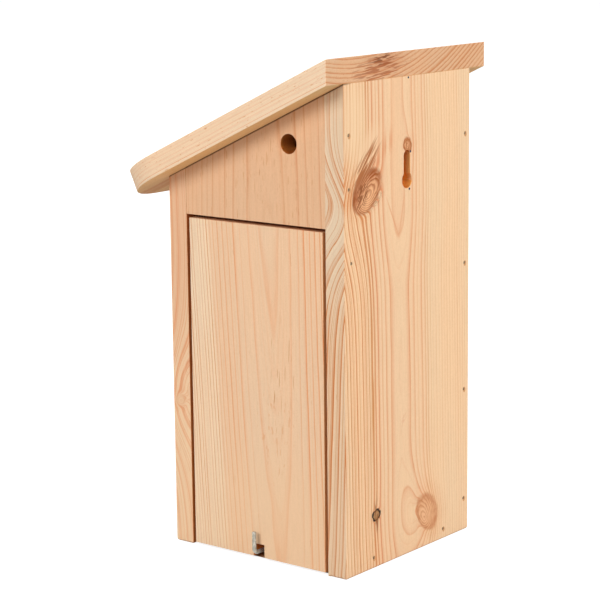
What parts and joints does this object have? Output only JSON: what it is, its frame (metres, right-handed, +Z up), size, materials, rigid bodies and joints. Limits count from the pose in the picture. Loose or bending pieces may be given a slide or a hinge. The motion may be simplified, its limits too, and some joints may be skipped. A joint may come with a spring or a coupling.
{
  "type": "wooden nest box with a side door",
  "caption": "Tall pine nest box with a lean-to roof, round front entrance, side door hung on nails and held by a turning hook, and a keyhole slot in the back board.",
  "frame": {"origin": "centre of the whole box's footprint, on the ground", "axes": "+Z up; the front with the entrance faces -Y, the hanging board faces +Y, the door is on the +X side"},
  "size_m": [0.219, 0.2378, 0.4204],
  "materials": {
    "back_pine": "planed, bare",
    "front_pine": "planed, bare",
    "side_pine": "planed, bare",
    "head_pine": "planed, bare",
    "door_pine": "planed, bare",
    "floor_pine": "planed, bare",
    "roof_pine": "planed, bare",
    "zinc_wire": "zinc plated, dull",
    "nail_steel": "dull"
  },
  "bodies": {
    "box": {"floor_board": "floor_pine", "back_board": "back_pine", "front_board": "front_pine", "full_side": "side_pine", "head_panel": "head_pine", "roof_board": "roof_pine", "pivot_nail_back": "nail_steel", "pivot_nail_front": "nail_steel", "back_nail_1": "nail_steel", "back_nail_2": "nail_steel", "back_nail_3": "nail_steel", "back_nail_4": "nail_steel", "back_nail_5": "nail_steel", "back_nail_6": "nail_steel", "back_nail_7": "nail_steel", "back_nail_8": "nail_steel", "front_nail_1": "nail_steel", "front_nail_2": "nail_steel", "front_nail_3": "nail_steel", "front_nail_4": "nail_steel", "front_nail_5": "nail_steel", "front_nail_6": "nail_steel", "front_nail_7": "nail_steel", "roof_nail_1": "nail_steel", "roof_nail_2": "nail_steel", "roof_nail_3": "nail_steel", "roof_nail_4": "nail_steel", "roof_nail_5": "nail_steel", "roof_nail_6": "nail_steel", "roof_nail_7": "nail_steel", "roof_nail_8": "nail_steel"},
    "door": {"door_panel": "door_pine"},
    "hook": {"latch_hook": "zinc_wire"}
  },
  "joints": [
    {"name": "door_hinge", "type": "hinge", "parent": "box", "child": "door", "pos_m": [0.07825, 0.02791, 0.25816], "axis": [0, -1, 0], "range_deg": [0, 130]},
    {"name": "hook_turn", "type": "hinge", "parent": "box", "child": "hook", "pos_m": [0.08, 0.02791, 0.0075], "axis": [1, 0, 0], "range_deg": [0, 180]}
  ]
}
